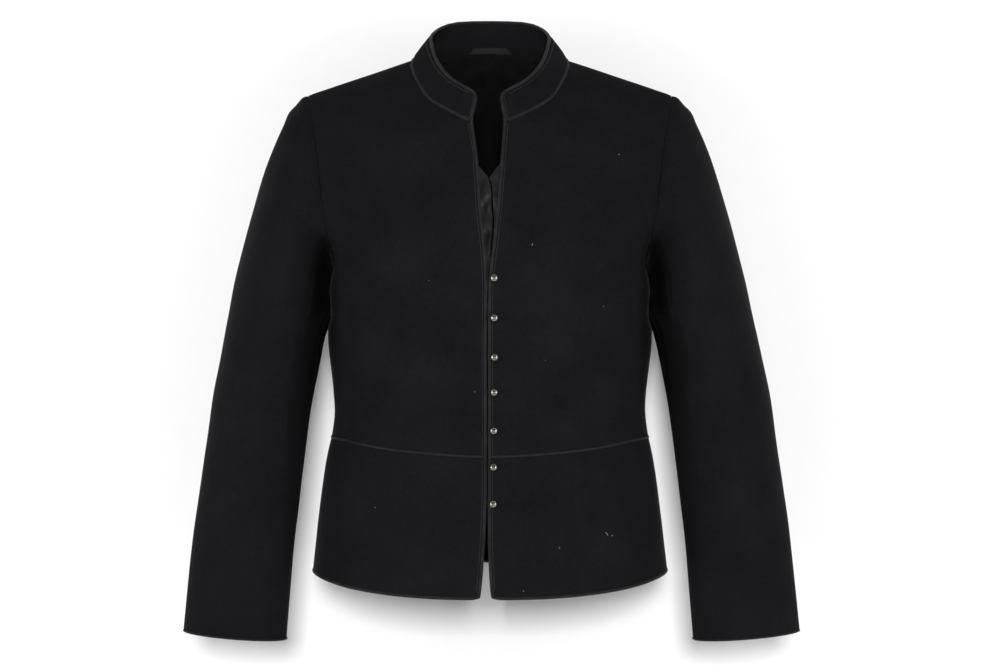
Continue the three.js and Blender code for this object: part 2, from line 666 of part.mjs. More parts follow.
// The cell of a front edge at a height.
function innerAtHeight(side, z) {
  const rows = [...halves[side].front.slice(frontNeckRow), ...halves[side].frontSkirt.slice(1)];
  const below = rows.findIndex((row) => row[0].point.z <= z);
  const [upper, lower] = [rows[below - 1][0].point.z, rows[below][0].point.z];
  return cellAt(rows, below - 1 + (upper - z) / (upper - lower), 0);
}

// A ball on a short shank, turned about its own axis. The shank's foot is at the origin.
function buttonGeometry() {
  const lowest = -Math.acos(shankRadius / buttonRadius);
  const ball = range(ballSteps + 1).map((step) => {
    const angle = lowest + (Math.PI / 2 - lowest) * step / ballSteps;
    return new THREE.Vector2(buttonRadius * Math.cos(angle), buttonCentre + buttonRadius * Math.sin(angle));
  });
  ball[ballSteps].x = 0;
  const foot = [new THREE.Vector2(0, 0), new THREE.Vector2(shankRadius, 0)];
  return new THREE.LatheGeometry([...foot, ...ball], ballSides);
}

buttonHeights.forEach((z, index) => {
  const edge = innerAtHeight('left', z);
  const outward = edge.normal.clone().setX(0).normalize();
  const button = add(`button_${index + 1}`, buttonGeometry(), agedSilver);
  button.position.copy(sum(edge.point, outward, seamGap)).setX(buttonOffsets[index]);
  button.quaternion.setFromUnitVectors(new Vector3(0, 1, 0), outward);
});

// One satin strip, from the line where the two meet to the edge that the front hides.
function underlapGrid(side) {
  const sign = side === 'left' ? 1 : -1;
  const points = underlapRows.map((row, i) => range(underlapColumns + 1).map((column) => {
    const share = column / underlapColumns;
    const x = sign * row.meetX + underlapClearance + underlapWidth * share;
    const z = row.meetZ + (row.hiddenZ - row.meetZ) * share;
    const phase = (i % 2) / 2 + (sign + 1) / 4;
    const crumple = row.swell * Math.cos(Math.PI * (crumpleWaves * share + phase)) ** 2;
    const behind = clothWall + 3 * seamGap + crumple + underlapSlope * share;
    return new Vector3(x, innerAtHeight(side, z).point.y + behind, z);
  }));
  return withNormals(points, 1);
}
for (const side of ['left', 'right']) {
  addPanel('underlap', side, underlapGrid(side), 1, { material: greySatin, thickness: satinWall });
}

// The hanger loop lies on the inside of the collar at the centre back, narrower at its top.
function loopGrid() {
  const middle = (collarGrid[0].length - 1) / 2;
  const columnWidth = collarGrid[0][middle + 1].point.x;
  return [0, 0.5, 1].map((share) => {
    const row = loopRows.foot + (loopRows.top - loopRows.foot) * share;
    const halfWidth = loopHalfWidths.foot + (loopHalfWidths.top - loopHalfWidths.foot) * share;
    return range(loopColumns + 1).map((column) => {
      const x = halfWidth * (2 * column / loopColumns - 1);
      return cellAt(collarGrid, row, middle + x / columnWidth);
    });
  });
}
add('hanger_loop', wall(loopGrid(), satinWall, 1, -clothWall - loopClearance), greySatin);

export default jacket;
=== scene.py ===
"""Looks of a fitted black wool jacket with a stand collar, ball buttons and a short flared skirt.

Metres, in the same frame as the solids: +X is the wearer's left, +Y the back, +Z up.
"""
import math
import random

import bmesh
import bpy
import numpy as np
from mathutils import Matrix, Vector, noise
from mathutils.bvhtree import BVHTree


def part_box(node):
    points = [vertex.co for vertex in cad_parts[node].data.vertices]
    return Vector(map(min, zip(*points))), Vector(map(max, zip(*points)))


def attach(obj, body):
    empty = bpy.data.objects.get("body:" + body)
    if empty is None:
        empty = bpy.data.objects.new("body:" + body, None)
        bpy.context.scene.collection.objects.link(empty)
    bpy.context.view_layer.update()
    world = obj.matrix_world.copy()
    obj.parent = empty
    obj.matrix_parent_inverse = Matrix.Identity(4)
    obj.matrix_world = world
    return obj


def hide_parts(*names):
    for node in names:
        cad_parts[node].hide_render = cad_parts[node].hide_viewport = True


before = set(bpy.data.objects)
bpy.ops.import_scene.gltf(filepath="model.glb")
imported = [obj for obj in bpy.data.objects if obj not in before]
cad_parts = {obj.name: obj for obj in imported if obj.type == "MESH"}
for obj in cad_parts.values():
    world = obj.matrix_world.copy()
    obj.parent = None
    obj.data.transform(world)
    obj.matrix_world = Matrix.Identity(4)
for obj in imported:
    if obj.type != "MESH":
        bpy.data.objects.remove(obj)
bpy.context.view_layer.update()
MM = 0.001
WALL = 0.002    # thickness of the cloth
SIDES = {"left": 1, "right": -1}


def in_scene(name, data):
    """A new object with this data, linked to the scene."""
    made = bpy.data.objects.new(name, data)
    bpy.context.scene.collection.objects.link(made)
    return made


# ---------- camera


def make_camera():
    data = bpy.data.cameras.new("camera")
    data.sensor_width = 36
    data.lens = 79.36
    camera = in_scene("camera", data)
    camera.location = (0.01512, -2.4, -0.2927)
    camera.rotation_euler = (math.pi / 2, 0, 0)
    bpy.context.scene.camera = camera


make_camera()

# ---------- shader groups


def put(tree, kind, **values):
    """A node with its properties set, and its inputs where the name is one."""
    node = tree.nodes.new(kind)
    for name, value in values.items():
        if hasattr(node, name):
            setattr(node, name, value)
        else:
            node.inputs[name.replace("_", " ")].default_value = value
    return node


def new_group(name, inputs, outputs):
    tree = bpy.data.node_groups.new(name, "ShaderNodeTree")
    for label, kind, value in inputs:
        socket = tree.interface.new_socket(label, in_out="INPUT", socket_type=kind)
        socket.default_value = value
    for label, kind in outputs:
        tree.interface.new_socket(label, in_out="OUTPUT", socket_type=kind)
    return tree, tree.nodes.new("NodeGroupInput"), tree.nodes.new("NodeGroupOutput")


def weighted_sum(tree, first, weight, second):
    """The first value times its weight, plus the second."""
    node = put(tree, "ShaderNodeMath", operation="MULTIPLY_ADD")
    tree.links.new(first, node.inputs[0])
    node.inputs[1].default_value = weight
    tree.links.new(second, node.inputs[2])
    return node.outputs[0]


def nap_group():
    """Short matted fibres: a fine height, a coarser one, and a soft change of tone."""
    tree, into, out = new_group(
        "matted_nap",
        [
            ("Fibres", "NodeSocketFloat", 1400.0),
            ("Clumps", "NodeSocketFloat", 260.0),
            ("Patches", "NodeSocketFloat", 22.0),
        ],
        [("Height", "NodeSocketFloat"), ("Tone", "NodeSocketFloat")],
    )
    place = tree.nodes.new("ShaderNodeTexCoord")
    layers = {}
    for name, detail, rough in (("Fibres", 3, 0.65), ("Clumps", 4, 0.6), ("Patches", 3, 0.5)):
        layer = put(tree, "ShaderNodeTexNoise", Detail=detail, Roughness=rough)
        tree.links.new(place.outputs["Object"], layer.inputs["Vector"])
        tree.links.new(into.outputs[name], layer.inputs["Scale"])
        layers[name] = layer.outputs["Fac"]
    faint = put(tree, "ShaderNodeMath", operation="MULTIPLY")
    tree.links.new(layers["Patches"], faint.inputs[0])
    faint.inputs[1].default_value = 0.5
    height = weighted_sum(tree, layers["Fibres"], 0.55, layers["Clumps"])
    tone = weighted_sum(tree, layers["Clumps"], 0.6, faint.outputs[0])
    tree.links.new(height, out.inputs["Height"])
    tree.links.new(tone, out.inputs["Tone"])
    return tree


def thread_group():
    """Fine slanting threads, as in cord, satin and lining."""
    tree, into, out = new_group(
        "slanting_threads",
        [
            ("Count", "NodeSocketFloat", 900.0),
            ("Unevenness", "NodeSocketFloat", 2.0),
        ],
        [("Height", "NodeSocketFloat"), ("Tone", "NodeSocketFloat")],
    )
    place = tree.nodes.new("ShaderNodeTexCoord")
    threads = put(tree, "ShaderNodeTexWave", bands_direction="DIAGONAL", Detail=2.0, Detail_Scale=3.0)
    tree.links.new(place.outputs["Object"], threads.inputs["Vector"])
    tree.links.new(into.outputs["Count"], threads.inputs["Scale"])
    tree.links.new(into.outputs["Unevenness"], threads.inputs["Distortion"])
    drift = put(tree, "ShaderNodeTexNoise", Scale=90.0, Detail=3.0)
    tree.links.new(place.outputs["Object"], drift.inputs["Vector"])
    tone = weighted_sum(tree, threads.outputs["Fac"], 0.35, drift.outputs["Fac"])
    tree.links.new(threads.outputs["Fac"], out.inputs["Height"])
    tree.links.new(tone, out.inputs["Tone"])
    return tree


nap = nap_group()
threads = thread_group()


def finish_material(name, dark, light, surface, settings, bump, bump_depth, shader_values,
                    rough=None, tone_span=(0.35, 0.85), painted_shade=False):
    """A material with the colour and bump of a group, with painted shade in the hollow by the arm if asked.
    """
    material = bpy.data.materials.new(name)
    material.use_nodes = True
    tree = material.node_tree
    shader = tree.nodes["Principled BSDF"]
    for label, value in shader_values.items():
        shader.inputs[label].default_value = value
    group = tree.nodes.new("ShaderNodeGroup")
    group.node_tree = surface
    for label, value in settings.items():
        group.inputs[label].default_value = value
    colours = tree.nodes.new("ShaderNodeValToRGB")
    low, high = colours.color_ramp.elements
    low.position, high.position = tone_span
    low.color = (*dark, 1)
    high.color = (*light, 1)
    tree.links.new(group.outputs["Tone"], colours.inputs["Fac"])
    colour = colours.outputs["Color"]
    if painted_shade:
        # Painted shade: a point attribute, written where arm and body meet, darkens the colour almost to
        # black.
        depth = put(tree, "ShaderNodeAttribute", attribute_name="painted_shade")
        darker = put(tree, "ShaderNodeMix", data_type="RGBA", blend_type="MULTIPLY")
        factor, plain, shade = (darker.inputs[k] for k in (0, 6, 7))    # those for mixing colours
        shade.default_value = (0.04, 0.04, 0.04, 1)
        tree.links.new(depth.outputs["Fac"], factor)
        tree.links.new(colour, plain)
        colour = darker.outputs[2]
    tree.links.new(colour, shader.inputs["Base Color"])
    raised = put(tree, "ShaderNodeBump", Strength=bump, Distance=bump_depth)
    tree.links.new(group.outputs["Height"], raised.inputs["Height"])
    tree.links.new(raised.outputs["Normal"], shader.inputs["Normal"])
    if rough:
        spread = put(tree, "ShaderNodeMapRange", To_Min=rough[0], To_Max=rough[1])
        tree.links.new(group.outputs["Tone"], spread.inputs["Value"])
        tree.links.new(spread.outputs["Result"], shader.inputs["Roughness"])
    return material


wool = finish_material(
    "black_fulled_wool", (0.0057, 0.0058, 0.0066), (0.0108, 0.0109, 0.0121), nap,
    {"Fibres": 1500.0, "Clumps": 300.0, "Patches": 20.0}, 0.35, 0.0004,
    {"Specular IOR Level": 0.08, "Sheen Weight": 0.03, "Sheen Roughness": 0.38,
     "Sheen Tint": (0.62, 0.64, 0.7, 1)},
    rough=(0.97, 0.82), painted_shade=True,
)
# The cord is lighter than the wool partly in its own colour and partly as painted highlight along the
# edges.
piping = finish_material(
    "black_cord_piping", (0.0078, 0.0079, 0.0087), (0.0215, 0.0215, 0.0228), threads,
    {"Count": 700.0, "Unevenness": 1.2}, 0.5, 0.0003,
    {"Specular IOR Level": 0.2, "Sheen Weight": 0.03, "Sheen Roughness": 0.35,
     "Sheen Tint": (0.7, 0.7, 0.72, 1)},
    rough=(0.7, 0.5),
)
# The thread is lighter than the wool partly as painted highlight, standing in for the light along the
# stitched ridge.
thread = finish_material(
    "sewing_thread", (0.024, 0.0243, 0.0255), (0.050, 0.050, 0.052), threads,
    {"Count": 1500.0, "Unevenness": 0.6}, 0.4, 0.0001,
    {"Specular IOR Level": 0.35, "Sheen Weight": 0.06},
    rough=(0.6, 0.42),
)
satin = finish_material(
    "dark_grey_satin", (0.0068, 0.0069, 0.0076), (0.0155, 0.0157, 0.0170), threads,
    {"Count": 1100.0, "Unevenness": 0.8}, 0.15, 0.0001,
    {"Specular IOR Level": 0.36, "Sheen Weight": 0.05, "Sheen Roughness": 0.3},
    rough=(0.48, 0.36),
)
lining = finish_material(
    "black_lining", (0.0019, 0.0019, 0.0021), (0.0044, 0.0044, 0.0048), threads,
    {"Count": 1300.0, "Unevenness": 0.8}, 0.1, 0.0001,
    {"Specular IOR Level": 0.22},
    rough=(0.6, 0.45),
)
# A much darker copy of the lining: painted shade for the lining seen deep through the front gap and inside
# the skirt.
skirt_lining = finish_material(
    "black_skirt_lining", (0.0003, 0.0003, 0.0004), (0.0009, 0.0009, 0.0010), threads,
    {"Count": 1300.0, "Unevenness": 0.8}, 0.1, 0.0001,
    {"Specular IOR Level": 0.02},
    rough=(0.9, 0.8),
)
silver = finish_material(
    "antique_silver", (0.40, 0.38, 0.335), (0.82, 0.79, 0.73), nap,
    {"Fibres": 2600.0, "Clumps": 700.0, "Patches": 160.0}, 0.12, 0.0001,
    {"Metallic": 1.0},
    rough=(0.21, 0.11),
)
tarnish = finish_material(
    "tarnished_recess", (0.030, 0.027, 0.024), (0.10, 0.092, 0.08), nap,
    {"Fibres": 2600.0, "Clumps": 900.0, "Patches": 200.0}, 0.3, 0.0001,
    {"Metallic": 0.8},
    rough=(0.7, 0.5),
)
lint = finish_material(
    "pale_lint", (0.30, 0.30, 0.28), (0.55, 0.55, 0.5), nap,
    {"Fibres": 2500.0, "Clumps": 900.0, "Patches": 100.0}, 0.1, 0.0001,
    {"Sheen Weight": 0.3},
    rough=(0.95, 0.8),
)

# ---------- modelling helpers


def only(piece):
    """Selects one object alone and makes it active."""
    bpy.ops.object.select_all(action="DESELECT")
    piece.select_set(True)
    bpy.context.view_layer.objects.active = piece


def primitive(add, **settings):
    """A new primitive, added with nothing else selected."""
    bpy.ops.object.select_all(action="DESELECT")
    add(**settings)
    return bpy.context.object


def as_piece(name, mesh):
    """A new object with the faces of a bmesh, which is freed."""
    data = bpy.data.meshes.new(name)
    mesh.to_mesh(data)
    mesh.free()
    return in_scene(name, data)


def coordinates(mesh):
    found = np.empty(len(mesh.vertices) * 3)
    mesh.vertices.foreach_get("co", found)
    return found.reshape(-1, 3)


def set_coordinates(mesh, values):
    mesh.vertices.foreach_set("co", values.ravel())
    mesh.update()


def edit(piece, *steps):
    """Runs edit-mode steps on all of a piece."""
    only(piece)
    bpy.ops.object.mode_set(mode="EDIT")
    bpy.ops.mesh.select_all(action="SELECT")
    for step in steps:
        step()
    bpy.ops.object.mode_set(mode="OBJECT")


def skin_of(node, name):
    """A new piece with the skin of a CAD node, in quads."""
    piece = in_scene(name, bpy.data.objects[node].data.copy())
    piece.data.materials.clear()
    edit(
        piece,
        lambda: bpy.ops.mesh.remove_doubles(threshold=0.00001),
        lambda: bpy.ops.mesh.tris_convert_to_quads(
            face_threshold=math.radians(75), shape_threshold=math.radians(75), topology_influence=1.0
        ),
    )
    return piece


RIM = 1             # material index of a wall's rim while it is being shaped
SEAM_WIDTH = 0.004  # reach of the armhole's sunken seam


def crease_rims(piece, angle=50, wall=0.0):
    """Marks the edges where the wall turns to its rim, so that smoothing keeps them.

    Where the wall's thickness is given, the faces of its rim are marked too.
    """
    if wall:
        piece.data.materials.append(None)
        piece.data.materials.append(None)
    mesh = bmesh.new()
    mesh.from_mesh(piece.data)
    layer = mesh.edges.layers.float.get("crease_edge") or mesh.edges.layers.float.new("crease_edge")
    for edge in mesh.edges:
        edge[layer] = 1.0 if edge.calc_face_angle(0) > math.radians(angle) else 0.0
    for face in mesh.faces:
        narrow = sum(1 for edge in face.edges if edge.calc_length() < wall * 1.25)
        sharp = sum(1 for edge in face.edges if edge[layer] == 1.0)
        face.material_index = RIM if narrow >= 2 and sharp >= 2 else 0
    mesh.to_mesh(piece.data)
    mesh.free()


def close_seams(piece, distance, at_armhole=0.0):
    """Moves a panel's marked rim out, so that neighbours touch as sewn cloth does."""
    mesh = piece.data
    out = np.zeros((len(mesh.vertices), 3))
    for polygon in mesh.polygons:
        if polygon.material_index == RIM:
            out[list(polygon.vertices)] += np.array(polygon.normal)
    length = np.linalg.norm(out, axis=1)
    turned = length > 0
    places = coordinates(mesh)
    near_armhole = np.clip(1 - from_armhole(places[turned]) / SEAM_WIDTH, 0, 1)
    steps = distance + at_armhole * near_armhole
    places[turned] += out[turned] / length[turned, None] * steps[:, None]
    set_coordinates(mesh, places)
    for polygon in mesh.polygons:
        polygon.material_index = 0
    mesh.materials.clear()


def swollen(piece, distance):
    """Moves a skin out along its own normals."""
    normals = np.array([vertex.normal for vertex in piece.data.vertices])
    set_coordinates(piece.data, coordinates(piece.data) + normals * distance)


def smoothed(piece, levels):
    """Subdivides a piece so that the smooth skin still passes through its corners."""
    modifier = piece.modifiers.new("smooth", "SUBSURF")
    modifier.levels = modifier.render_levels = levels
    goal = coordinates(piece.data)
    for _ in range(3):
        graph = bpy.context.evaluated_depsgraph_get()
        graph.update()
        now = coordinates(piece.evaluated_get(graph).data)[: len(goal)]
        set_coordinates(piece.data, coordinates(piece.data) + goal - now)
    only(piece)
    bpy.ops.object.modifier_apply(modifier="smooth")


def soften_rims(piece, width, angle=60):
    """A small round along the rims, as turned cloth has."""
    def bevel():
        bpy.ops.mesh.select_all(action="DESELECT")
        bpy.ops.mesh.select_mode(type="EDGE")
        bpy.ops.mesh.edges_select_sharp(sharpness=math.radians(angle))
        bpy.ops.mesh.bevel(offset=width, segments=2, affect="EDGES", clamp_overlap=True)
        bpy.ops.mesh.select_mode(type="VERT")
    edit(piece, bevel)


def round_shading(piece, angle=55):
    only(piece)
    bpy.ops.object.shade_smooth_by_angle(angle=math.radians(angle))


def spline(points, steps):
    """Points of a smooth line through the given ones."""
    points = [Vector(p) for p in points]
    padded = [2 * points[0] - points[1], *points, 2 * points[-1] - points[-2]]
    line = []
    for a, b, c, d in zip(padded, padded[1:], padded[2:], padded[3:]):
        for k in range(steps):
            t = k / steps
            line.append(0.5 * (2 * b + (c - a) * t + (2 * a - 5 * b + 4 * c - d) * t * t
                               + (3 * b - a - 3 * c + d) * t ** 3))
    return [*line, points[-1]]


def evenly(line, step):
    """Points at equal steps along a line, with the direction at each."""
    placed = []
    left = step / 2
    for a, b in zip(line, line[1:]):
        run = (b - a).length
        while left < run:
            placed.append((a.lerp(b, left / run), (b - a).normalized()))
            left += step
        left -= run
    return placed


def tube(name, line, radius, sides=8, closed=False):
    """A round cord along a line."""
    curve = bpy.data.curves.new(name, "CURVE")
    curve.dimensions = "3D"
    curve.bevel_depth = radius
    curve.bevel_resolution = sides // 4
    curve.use_fill_caps = not closed
    run = curve.splines.new("POLY")
    run.points.add(len(line) - 1)
    for point, place in zip(run.points, line):
        point.co = (*place, 1)
    run.use_cyclic_u = closed
    piece = in_scene(name, curve)
    only(piece)
    bpy.ops.object.convert(target="MESH")
    return piece


def joined(name, pieces):
    only(pieces[0])
    for piece in pieces:
        piece.select_set(True)
    if len(pieces) > 1:
        bpy.ops.object.join()
    pieces[0].name = name
    pieces[0].data.name = name
    return pieces[0]


def belongs(piece, slot, material, *nodes):
    """The piece rides with the jacket, has its finish, and stands for the nodes."""
    if not piece.data.materials:
        piece.data.materials.append(material)
    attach(piece, "root")
    if nodes:
        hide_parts(*nodes)


# ---------- shape of the worn jacket

# The sleeve's middle at some heights: z, x, y in metres.
ARM = [
    (-0.612, 0.2705, -0.038), (-0.51, 0.262, -0.032), (-0.36, 0.2439, -0.014),
    (-0.243, 0.2242, -0.002), (-0.12, 0.192, 0.002), (0.02, 0.188, 0.002),
]
# The armhole's edge, from the shoulder down the front to the armpit and up the back, in millimetres.
ARMHOLE = [
    (197, 6, -32.2), (194.5, -12, -47), (190, -26, -68), (186, -37, -90), (183, -45, -112),
    (180, -50, -135), (177.5, -53, -155), (172.5, -50, -181), (168.5, -42, -200), (166, -27, -217),
    (171.5, 0, -232), (172, 34, -211), (177, 52, -186), (182, 58, -158), (184, 56, -132),
    (187, 51, -105), (190, 42, -78), (195.5, 24, -48), (197, 6, -32.2),
]
SHOULDER_ROUNDING = -0.12   # above this height, directions out of the jacket turn upwards


def read_off(table, at, column=1):
    """Values between the rows of a table, whose first column rises."""
    rows = np.array(table)
    return np.interp(at, rows[:, 0], rows[:, column])


def distance_to(line, places):
    """Shortest distance from each place to a line of points."""
    line = np.array(line) * MM
    least = np.full(len(places), 1e9)
    for a, b in zip(line, line[1:]):
        t = np.clip((places - a) @ (b - a) / ((b - a) @ (b - a)), 0, 1)
        least = np.minimum(least, np.linalg.norm(places - a - t[:, None] * (b - a), axis=1))
    return least


def from_armhole(places):
    return distance_to(ARMHOLE, np.abs(places) * [1, 0, 0] + places * [0, 1, 1])


def away_from_torso(places):
    """Unit directions out of the torso, up and out over the shoulders."""
    inner = np.stack([
        places[:, 0] * 0.35,
        np.full(len(places), -0.01),
        np.minimum(places[:, 2], SHOULDER_ROUNDING),
    ], axis=1)
    out = places - inner
    return out / np.linalg.norm(out, axis=1, keepdims=True)


def arm_middle(places):
    x = read_off(ARM, places[:, 2]) * np.sign(places[:, 0])
    y = read_off(ARM, places[:, 2], column=2)
    return np.stack([x, y, np.minimum(places[:, 2], SHOULDER_ROUNDING)], axis=1)


def away_from_arm(places):
    out = places - arm_middle(places)
    return out / np.linalg.norm(out, axis=1, keepdims=True)


def away_from_neck(places):
    out = places * [1, 1, 0]
    return out / np.linalg.norm(out, axis=1, keepdims=True)


# Soft folds: the side each is on, its line as x and z, its half width, and its height, negative for a
# trough, in millimetres.
TORSO_FOLDS = [
    ("both", [(-146, -258), (-162, -266), (-182, -268)], 12, -5.0),
    ("both", [(146, -257), (162, -265), (182, -269)], 12, -5.5),
    ("front", [(-50, -70), (-34, -88), (-18, -105)], 8, -1.5),
    ("front", [(-58, -84), (-40, -104), (-22, -126)], 10, 0.9),
    ("front", [(47, -74), (32, -92), (20, -112)], 10, -0.6),
    ("front", [(-160, -212), (-138, -228), (-118, -252), (-102, -262)], 12, -2.6),
    ("front", [(-162, -232), (-142, -252), (-120, -268)], 9, 1.7),
    ("front", [(160, -214), (140, -232), (121, -256), (110, -268)], 12, -2.3),
    ("front", [(164, -236), (146, -254), (126, -274)], 9, 1.5),
    ("front", [(-150, -176), (-128, -168), (-104, -170)], 14, -0.9),
    ("front", [(152, -180), (132, -170), (110, -172)], 13, -1.1),
    ("front", [(-166, -330), (-136, -338), (-104, -336)], 11, -1.5),
    ("front", [(-168, -358), (-140, -366), (-118, -362)], 8, 1.0),
    ("front", [(168, -322), (142, -332), (112, -334)], 11, -1.4),
    ("front", [(168, -364), (146, -372), (120, -371)], 9, -1.0),
    ("front", [(-60, -330), (-34, -342), (-12, -345)], 7, -0.7),
    ("front", [(62, -296), (36, -308), (12, -312)], 7, -0.6),
    ("front", [(-64, -386), (-38, -392), (-12, -390)], 8, -0.7),
    ("front", [(70, -372), (40, -388), (14, -389)], 8, -0.7),
    ("front", [(-70, -430), (-76, -490), (-80, -556)], 20, -1.6),
    ("front", [(-128, -425), (-137, -490), (-142, -548)], 18, 2.1),
    ("front", [(76, -432), (82, -495), (86, -556)], 20, -1.5),
    ("front", [(131, -428), (138, -500), (145, -550)], 17, 1.9),
    ("front", [(-40, -440), (-44, -500), (-46, -550)], 16, 0.9),
    ("front", [(42, -436), (45, -500), (48, -552)], 16, 0.8),
    ("back", [(-150, -190), (-122, -214), (-98, -240)], 13, -2.4),
    ("back", [(-156, -216), (-130, -240), (-108, -262)], 10, 1.4),
    ("back", [(152, -188), (126, -212), (104, -244)], 13, -2.2),
    ("back", [(158, -220), (134, -244), (116, -260)], 10, 1.2),
    ("back", [(-126, -318), (-78, -330), (-30, -326)], 11, -1.8),
    ("back", [(34, -322), (82, -332), (128, -322)], 12, -2.0),
    ("back", [(-110, -352), (-60, -362), (-16, -358)], 9, 1.2),
    ("back", [(22, -360), (66, -364), (116, -354)], 9, 1.0),
    ("back", [(-120, -380), (-82, -388), (-44, -386)], 8, -1.0),
    ("back", [(-44, -46), (-70, -70), (-96, -104)], 16, -1.1),
    ("back", [(46, -46), (72, -74), (94, -110)], 16, -1.0),
    ("back", [(-52, -428), (-60, -490), (-68, -542)], 18, 2.6),
    ("back", [(0, -430), (2, -490), (3, -544)], 16, -1.6),
    ("back", [(56, -428), (62, -492), (70, -542)], 18, 2.4),
    ("back", [(-122, -428), (-130, -490), (-138, -540)], 17, -1.8),
    ("back", [(120, -428), (128, -490), (137, -540)], 17, -1.7),
]
SLEEVE_FOLDS = [
    ("front", [(-180, -150), (-190, -200), (-196, -252)], 12, -2.4),
    ("front", [(-196, -160), (-208, -206), (-214, -250)], 10, 1.5),
    ("front", [(181, -152), (192, -204), (199, -258)], 12, -2.3),
    ("front", [(198, -164), (209, -208), (216, -254)], 10, 1.4),
    ("front", [(-188, -322), (-212, -334), (-238, -338)], 8, -1.5),
    ("front", [(-190, -344), (-210, -352), (-230, -362)], 7, 0.9),
    ("front", [(-196, -372), (-222, -382), (-246, -380)], 9, -1.2),
    ("front", [(192, -330), (216, -342), (246, -345)], 8, -1.6),
    ("front", [(196, -352), (220, -358), (240, -369)], 6, 1.0),
    ("front", [(200, -376), (226, -387), (252, -383)], 9, -1.3),
    ("front", [(-208, -470), (-232, -482), (-252, -488)], 13, -1.0),
    ("front", [(212, -462), (238, -476), (262, -479)], 12, -1.1),
    ("front", [(-258, -70), (-268, -120), (-276, -170)], 15, -0.9),
    ("front", [(260, -76), (270, -124), (279, -172)], 15, -1.0),
    ("back", [(-180, -154), (-192, -206), (-200, -262)], 12, -2.2),
    ("back", [(182, -156), (194, -210), (201, -260)], 12, -2.4),
    ("back", [(-200, -318), (-232, -336), (-268, -338)], 10, -2.2),
    ("back", [(-204, -350), (-236, -362), (-264, -362)], 8, 1.5),
    ("back", [(-212, -384), (-240, -392), (-276, -386)], 9, -1.6),
    ("back", [(202, -322), (236, -342), (270, -340)], 10, -2.1),
    ("back", [(206, -356), (238, -366), (268, -369)], 8, 1.4),
    ("back", [(214, -390), (244, -398), (280, -392)], 9, -1.5),
    ("back", [(-222, -470), (-250, -490), (-280, -494)], 13, -1.1),
    ("back", [(224, -474), (252, -492), (284, -494)], 12, -1.2),
]
# The collar's foot and top on the left, from the front edge to the centre back, in millimetres.
COLLAR_EDGES = [
    ((18.2, -84, -67), (13.2, -76, -36.5)),
    ((34, -79, -60.5), (28.6, -70, -28.5)),
    ((50.4, -67, -51), (41.2, -58, -19.4)),
    ((65.6, -50, -40), (52.1, -42, -6.2)),
    ((75.6, -35, -24.5), (60.1, -22, 9.7)),
    ((83.6, -17, -8), (63.6, 0, 24.9)),
    ((85, 5, 7.5), (64.4, 16, 34.5)),
    ((78, 34, 12), (60.4, 36, 42.7)),
    ((62, 56, 15.5), (53, 50, 49)),
    ((36, 69, 18.5), (36.5, 60, 54.9)),
    ((0, 72, 19.5), (0, 64, 56.6)),
]
LINING_FOLDS = [
    ("back", [(-4, 1), (-18, -5), (-40, -16), (-62, -34)], 4, 4.2),
    ("back", [(6, 0), (22, -7), (44, -20), (64, -38)], 4, 4.0),
    ("back", [(0, -24), (-18, -44), (-36, -78)], 6, 2.2),
    ("back", [(2, -26), (20, -50), (36, -84)], 6, 2.4),
    ("back", [(0, 12), (0, -140), (0, -300), (0, -410)], 2.2, 1.6),
    ("back", [(-60, -120), (-48, -220), (-54, -330)], 12, 1.4),
    ("back", [(52, -130), (60, -230), (50, -330)], 12, 1.3),
]


def fold_heights(places, towards_front, folds):
    """How far each place moves out, from the folds drawn on its side."""
    heights = np.zeros(len(places))
    flat = places[:, [0, 2]]
    for side, line, width, height in folds:
        line = np.array(line) * MM
        runs = np.linalg.norm(np.diff(line, axis=0), axis=1)
        total = runs.sum()
        nearest = np.full(len(places), 1e9)
        share = np.zeros(len(places))
        before = 0.0
        for a, b, run in zip(line, line[1:], runs):
            t = np.clip((flat - a) @ (b - a) / run ** 2, 0, 1)
            gap = np.linalg.norm(flat - a - t[:, None] * (b - a), axis=1)
            closer = gap < nearest
            nearest[closer] = gap[closer]
            share[closer] = ((before + t * run) / total)[closer]
            before += run
        fade = 1.0
        if side != "both":
            fade = np.clip((towards_front if side == "front" else -towards_front) / 0.02, 0, 1)
        taper = np.sin(np.pi * (0.12 + 0.76 * share)) ** 0.8
        heights += height * MM * fade * taper * np.exp(-((nearest / (width * MM)) ** 2))
    return heights


def uneven(places, size, height):
    """Slow swelling of the cloth, the same on neighbouring pieces."""
    scale = 1 / size
    return np.array([noise.noise(Vector(p) * scale) for p in places]) * height


CALM_AT_SEAM = 0.018    # reach of the calm cloth beside the armhole
SEAM_DEPTH = 0.0009     # how far the cloth sinks at the armhole
SEAM_TURNS = -0.165     # below this height it sinks towards the torso


def shape_cloth(piece, folds, away, towards_front):
    """Gives the cloth its folds and swelling, and sinks it along the armhole."""
    places = coordinates(piece.data)
    out = away(places)
    heights = fold_heights(places, towards_front(places), folds) + uneven(places, 0.05, 0.0005)
    from_seam = from_armhole(places)
    heights *= np.clip(from_seam / CALM_AT_SEAM - 0.1, 0, 1)
    sunk = SEAM_DEPTH * np.exp(-(from_seam / SEAM_WIDTH) ** 2)
    own_way = np.clip((places[:, 2] - SEAM_TURNS) / 0.02, 0, 1)[:, None]
    inward = -away_from_torso(places) * (1 - own_way) - out * own_way
    set_coordinates(piece.data, places + out * heights[:, None] + inward * sunk[:, None])


def torso_front(places):
    return -places[:, 1]


def sleeve_front(places):
    return arm_middle(places)[:, 1] - places[:, 1]


# The sleeve's inner side by height, in millimetres: where its edge is, and its share of two moves.
INNER_EDGE = [(-560, 199), (-420, 190), (-330, 182), (-243, 173), (-215, 170), (-180, 170)]
NARROWED = [(-306, 0), (-291, 0.08), (-277, 0.4), (-262, 1), (-236, 1), (-205, 0.4)]
TURNED_BACK = [(-480, 0), (-400, 0.35), (-330, 0.8), (-245, 1), (-215, 0.75), (-195, 0.4), (-172, 0)]
NARROWED_BY = 0.013
TURNED_BACK_BY = 0.058


